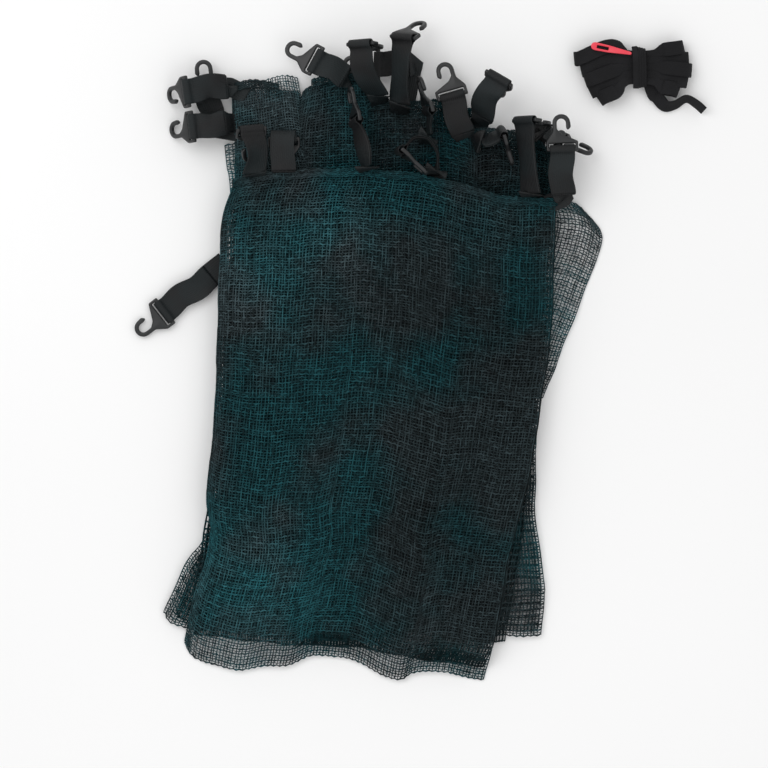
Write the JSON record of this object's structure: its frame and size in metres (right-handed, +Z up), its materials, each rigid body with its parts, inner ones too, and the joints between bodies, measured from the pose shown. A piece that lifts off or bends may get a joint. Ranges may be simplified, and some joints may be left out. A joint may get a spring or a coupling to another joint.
{
  "type": "folded mesh net with hook straps",
  "caption": "Knitted mesh net folded flat, with a webbing strap and moulded hook at each fold of its top hem, a hank of flat lace and a threading needle.",
  "frame": {"origin": "on the floor under the middle of the folded net", "axes": "+Y from the bottom edge of the bundle to its top hem, +X across it, +Z up from the floor"},
  "size_m": [0.574, 0.6597, 0.0686],
  "materials": {
    "net": "matt black-green knitted polyethylene mesh",
    "hem": "the same mesh turned over and chain stitched",
    "webbing": "black polypropylene webbing, slight sheen",
    "hook": "black moulded nylon, satin",
    "lace": "black flat woven polyester lace",
    "needle": "bright red moulded plastic"
  },
  "bodies": {
    "net_bundle": {"front_fold": "net", "core_fold": "net", "middle_fold": "net", "second_fold": "net", "rear_right_fold": "net", "rear_left_fold": "net", "rear_top_left_fold": "net", "rear_top_middle_fold": "net", "rear_top_centre_fold": "net", "rear_top_right_fold": "net", "front_hem": "hem", "rear_left_hem": "hem", "rear_middle_hem": "hem", "rear_centre_hem": "hem", "rear_right_hem": "hem", "side_strap_tail": "webbing"},
    "rear_left_upper_strap": {"rear_left_upper_strap": "webbing"},
    "rear_left_upper_hook": {"rear_left_upper_hook": "hook"},
    "rear_left_hidden_strap": {"rear_left_hidden_strap": "webbing"},
    "rear_left_hidden_hook": {"rear_left_hidden_hook": "hook"},
    "rear_left_lower_strap": {"rear_left_lower_strap": "webbing"},
    "rear_left_lower_hook": {"rear_left_lower_hook": "hook"},
    "rear_left_centre_strap": {"rear_left_centre_strap": "webbing"},
    "rear_left_centre_hook": {"rear_left_centre_hook": "hook"},
    "rear_centre_low_strap": {"rear_centre_low_strap": "webbing"},
    "rear_centre_low_hook": {"rear_centre_low_hook": "hook"},
    "rear_centre_loop_strap": {"rear_centre_loop_strap": "webbing"},
    "rear_centre_loop_hook": {"rear_centre_loop_hook": "hook"},
    "rear_centre_tall_strap": {"rear_centre_tall_strap": "webbing"},
    "rear_centre_tall_hook": {"rear_centre_tall_hook": "hook"},
    "rear_right_centre_strap": {"rear_right_centre_strap": "webbing"},
    "rear_right_centre_hook": {"rear_right_centre_hook": "hook"},
    "rear_right_edge_strap": {"rear_right_edge_strap": "webbing"},
    "rear_right_edge_hook": {"rear_right_edge_hook": "hook"},
    "rear_right_curl_strap": {"rear_right_curl_strap": "webbing"},
    "rear_right_curl_hook": {"rear_right_curl_hook": "hook"},
    "right_group_strap": {"right_group_strap": "webbing"},
    "right_group_hook": {"right_group_hook": "hook"},
    "right_front_tall_strap": {"right_front_tall_strap": "webbing"},
    "right_front_tall_hook": {"right_front_tall_hook": "hook"},
    "right_end_strap": {"right_end_strap": "webbing"},
    "right_end_hook": {"right_end_hook": "hook"},
    "right_tongue_strap": {"right_tongue_strap": "webbing"},
    "right_tongue_hook": {"right_tongue_hook": "hook"},
    "front_left_strap": {"front_left_strap": "webbing"},
    "front_left_hook": {"front_left_hook": "hook"},
    "front_left_loop_strap": {"front_left_loop_strap": "webbing"},
    "front_left_loop_hook": {"front_left_loop_hook": "hook"},
    "front_edge_strap": {"front_edge_strap": "webbing"},
    "front_edge_hook": {"front_edge_hook": "hook"},
    "front_centre_loop_strap": {"front_centre_loop_strap": "webbing"},
    "front_centre_loop_hook": {"front_centre_loop_hook": "hook"},
    "side_low_strap": {"side_low_strap": "webbing"},
    "side_low_hook": {"side_low_hook": "hook"},
    "lace": {"lace_hank": "lace", "lace_wrap": "lace", "lace_tail": "lace"},
    "needle": {"threading_needle": "needle"}
  },
  "joints": [
    {"name": "rear_left_upper_strap_lift", "type": "hinge", "parent": "net_bundle", "child": "rear_left_upper_strap", "pos_m": [-0.159, 0.293, 0.025], "axis": [-0.1392, 0.9903, 0], "range_deg": [0, 30]},
    {"name": "rear_left_upper_hook_turn", "type": "hinge", "parent": "rear_left_upper_strap", "child": "rear_left_upper_hook", "pos_m": [-0.19731, 0.28762, 0.03336], "axis": [-0.1392, 0.9903, 0], "range_deg": [0, 40]},
    {"name": "rear_left_hidden_strap_lift", "type": "hinge", "parent": "net_bundle", "child": "rear_left_hidden_strap", "pos_m": [-0.174, 0.257, 0.007], "axis": [0.9903, 0.1392, 0], "range_deg": [0, 8]},
    {"name": "rear_left_hidden_hook_turn", "type": "hinge", "parent": "rear_left_hidden_strap", "child": "rear_left_hidden_hook", "pos_m": [-0.17798, 0.28531, 0.01], "axis": [0.9903, 0.1392, 0], "range_deg": [0, 8]},
    {"name": "rear_left_lower_strap_lift", "type": "hinge", "parent": "net_bundle", "child": "rear_left_lower_strap", "pos_m": [-0.16, 0.257, 0.024], "axis": [-0.1219, 0.9925, 0], "range_deg": [0, 25]},
    {"name": "rear_left_lower_hook_turn", "type": "hinge", "parent": "rear_left_lower_strap", "child": "rear_left_lower_hook", "pos_m": [-0.19205, 0.25306, 0.02853], "axis": [-0.1219, 0.9925, 0], "range_deg": [0, 40]},
    {"name": "rear_left_centre_strap_lift", "type": "hinge", "parent": "net_bundle", "child": "rear_left_centre_strap", "pos_m": [-0.04, 0.303, 0.026], "axis": [0.4695, 0.8829, 0], "range_deg": [0, 35]},
    {"name": "rear_left_centre_hook_turn", "type": "hinge", "parent": "rear_left_centre_strap", "child": "rear_left_centre_hook", "pos_m": [-0.06877, 0.3183, 0.02713], "axis": [0.4695, 0.8829, 0], "range_deg": [0, 40]},
    {"name": "rear_centre_low_strap_lift", "type": "hinge", "parent": "net_bundle", "child": "rear_centre_low_strap", "pos_m": [0.024, 0.316, 0.017], "axis": [0, 1, 0], "range_deg": [0, 4]},
    {"name": "rear_centre_low_hook_turn", "type": "hinge", "parent": "rear_centre_low_strap", "child": "rear_centre_low_hook", "pos_m": [-0.00671, 0.316, 0.01666], "axis": [0, 1, 0], "range_deg": [0, 4]},
    {"name": "rear_centre_loop_strap_lift", "type": "hinge", "parent": "net_bundle", "child": "rear_centre_loop_strap", "pos_m": [-0.007, 0.284, 0.032], "axis": [0.9455, 0.3256, 0], "range_deg": [0, 20]},
    {"name": "rear_centre_loop_hook_turn", "type": "hinge", "parent": "rear_centre_loop_strap", "child": "rear_centre_loop_hook", "pos_m": [-0.02428, 0.33346, 0.05792], "axis": [-0.8564, -0.0289, -0.5155], "range_deg": [0, 15]},
    {"name": "rear_centre_tall_strap_lift", "type": "hinge", "parent": "net_bundle", "child": "rear_centre_tall_strap", "pos_m": [0.015, 0.275, 0.035], "axis": [0.9986, -0.0523, 0], "range_deg": [0, 20]},
    {"name": "rear_centre_tall_hook_turn", "type": "hinge", "parent": "rear_centre_tall_strap", "child": "rear_centre_tall_hook", "pos_m": [0.01828, 0.34091, 0.04452], "axis": [0.8139, -0.1226, 0.568], "range_deg": [0, 40]},
    {"name": "rear_right_centre_strap_lift", "type": "hinge", "parent": "net_bundle", "child": "rear_right_centre_strap", "pos_m": [0.078, 0.247, 0.018], "axis": [0.9613, 0.2756, 0], "range_deg": [0, 25]},
    {"name": "rear_right_centre_hook_turn", "type": "hinge", "parent": "rear_right_centre_strap", "child": "rear_right_centre_hook", "pos_m": [0.0674, 0.28397, 0.02068], "axis": [0.9613, 0.2756, 0], "range_deg": [0, 30]},
    {"name": "rear_right_edge_strap_lift", "type": "hinge", "parent": "net_bundle", "child": "rear_right_edge_strap", "pos_m": [0.043, 0.244, 0.034], "axis": [0.9994, -0.0349, 0], "range_deg": [0, 15]},
    {"name": "rear_right_edge_hook_turn", "type": "hinge", "parent": "rear_right_edge_strap", "child": "rear_right_edge_hook", "pos_m": [0.04386, 0.26871, 0.034], "axis": [0.2587, -0.009, 0.9659], "range_deg": [0, 15]},
    {"name": "rear_right_curl_strap_lift", "type": "hinge", "parent": "net_bundle", "child": "rear_right_curl_strap", "pos_m": [0.097, 0.263, 0.027], "axis": [0.9272, -0.3746, 0], "range_deg": [0, 20]},
    {"name": "rear_right_curl_hook_turn", "type": "hinge", "parent": "rear_right_curl_strap", "child": "rear_right_curl_hook", "pos_m": [0.11303, 0.29943, 0.05028], "axis": [-0.8386, 0.5029, -0.2094], "range_deg": [0, 25]},
    {"name": "right_group_strap_lift", "type": "hinge", "parent": "net_bundle", "child": "right_group_strap", "pos_m": [0.096, 0.238, 0.036], "axis": [0.3746, -0.9272, 0], "range_deg": [0, 10]},
    {"name": "right_group_hook_turn", "type": "hinge", "parent": "right_group_strap", "child": "right_group_hook", "pos_m": [0.11707, 0.24651, 0.036], "axis": [-0.1281, 0.3171, -0.9397], "range_deg": [0, 12]},
    {"name": "right_front_tall_strap_lift", "type": "hinge", "parent": "net_bundle", "child": "right_front_tall_strap", "pos_m": [0.145, 0.186, 0.04], "axis": [0.9962, 0.0872, 0], "range_deg": [0, 15]},
    {"name": "right_front_tall_hook_turn", "type": "hinge", "parent": "right_front_tall_strap", "child": "right_front_tall_hook", "pos_m": [0.13915, 0.25821, 0.04582], "axis": [-0.7454, -0.0067, -0.6666], "range_deg": [0, 6]},
    {"name": "right_end_strap_lift", "type": "hinge", "parent": "net_bundle", "child": "right_end_strap", "pos_m": [0.178, 0.186, 0.033], "axis": [0.9994, 0.0349, 0], "range_deg": [0, 20]},
    {"name": "right_end_hook_turn", "type": "hinge", "parent": "right_end_strap", "child": "right_end_hook", "pos_m": [0.17648, 0.22951, 0.04267], "axis": [0.9994, 0.0349, 0], "range_deg": [0, 40]},
    {"name": "right_tongue_strap_lift", "type": "hinge", "parent": "net_bundle", "child": "right_tongue_strap", "pos_m": [0.159, 0.247, 0.022], "axis": [-0.3746, -0.9272, 0], "range_deg": [0, 4]},
    {"name": "right_tongue_hook_turn", "type": "hinge", "parent": "right_tongue_strap", "child": "right_tongue_hook", "pos_m": [0.17451, 0.24074, 0.022], "axis": [-0.1873, -0.4636, 0.866], "range_deg": [0, 8]},
    {"name": "front_left_strap_lift", "type": "hinge", "parent": "net_bundle", "child": "front_left_strap", "pos_m": [-0.101, 0.209, 0.032], "axis": [1, 0, 0], "range_deg": [0, 20]},
    {"name": "front_left_hook_turn", "type": "hinge", "parent": "front_left_strap", "child": "front_left_hook", "pos_m": [-0.101, 0.24105, 0.02031], "axis": [-1, 0, 0], "range_deg": [0, 8]},
    {"name": "front_left_loop_strap_lift", "type": "hinge", "parent": "net_bundle", "child": "front_left_loop_strap", "pos_m": [-0.13, 0.206, 0.034], "axis": [0.9994, 0.0349, 0], "range_deg": [0, 20]},
    {"name": "front_left_loop_hook_turn", "type": "hinge", "parent": "front_left_loop_strap", "child": "front_left_loop_hook", "pos_m": [-0.13317, 0.24949, 0.04018], "axis": [-0.9362, -0.1155, 0.3319], "range_deg": [0, 15]},
    {"name": "front_edge_strap_lift", "type": "hinge", "parent": "net_bundle", "child": "front_edge_strap", "pos_m": [-0.018, 0.212, 0.044], "axis": [0.9703, 0.2419, 0], "range_deg": [0, 20]},
    {"name": "front_edge_hook_turn", "type": "hinge", "parent": "front_edge_strap", "child": "front_edge_hook", "pos_m": [-0.02893, 0.25714, 0.03901], "axis": [0.2758, 0.1712, 0.9458], "range_deg": [0, 25]},
    {"name": "front_centre_loop_strap_lift", "type": "hinge", "parent": "net_bundle", "child": "front_centre_loop_strap", "pos_m": [0.051, 0.209, 0.046], "axis": [0.9976, 0.0698, 0], "range_deg": [0, 15]},
    {"name": "front_centre_loop_hook_turn", "type": "hinge", "parent": "front_centre_loop_strap", "child": "front_centre_loop_hook", "pos_m": [0.01531, 0.22778, 0.05205], "axis": [-0.1732, -0.0121, -0.9848], "range_deg": [0, 12]},
    {"name": "side_low_strap_lift", "type": "hinge", "parent": "net_bundle", "child": "side_low_strap", "pos_m": [-0.175, 0.105, 0.0054], "axis": [-0.6157, 0.788, 0], "range_deg": [0, 35]},
    {"name": "side_low_hook_turn", "type": "hinge", "parent": "side_low_strap", "child": "side_low_hook", "pos_m": [-0.22127, 0.06885, 0.00514], "axis": [-0.6157, 0.788, 0], "range_deg": [0, 60]},
    {"name": "lace_lift", "type": "slide", "parent": "net_bundle", "child": "lace", "axis": [0, 0, 1], "range_m": [0, 0.15]},
    {"name": "needle_pull", "type": "slide", "parent": "lace", "child": "needle", "axis": [-0.9796, 0.2011, 0], "range_m": [0, 0.06]}
  ]
}
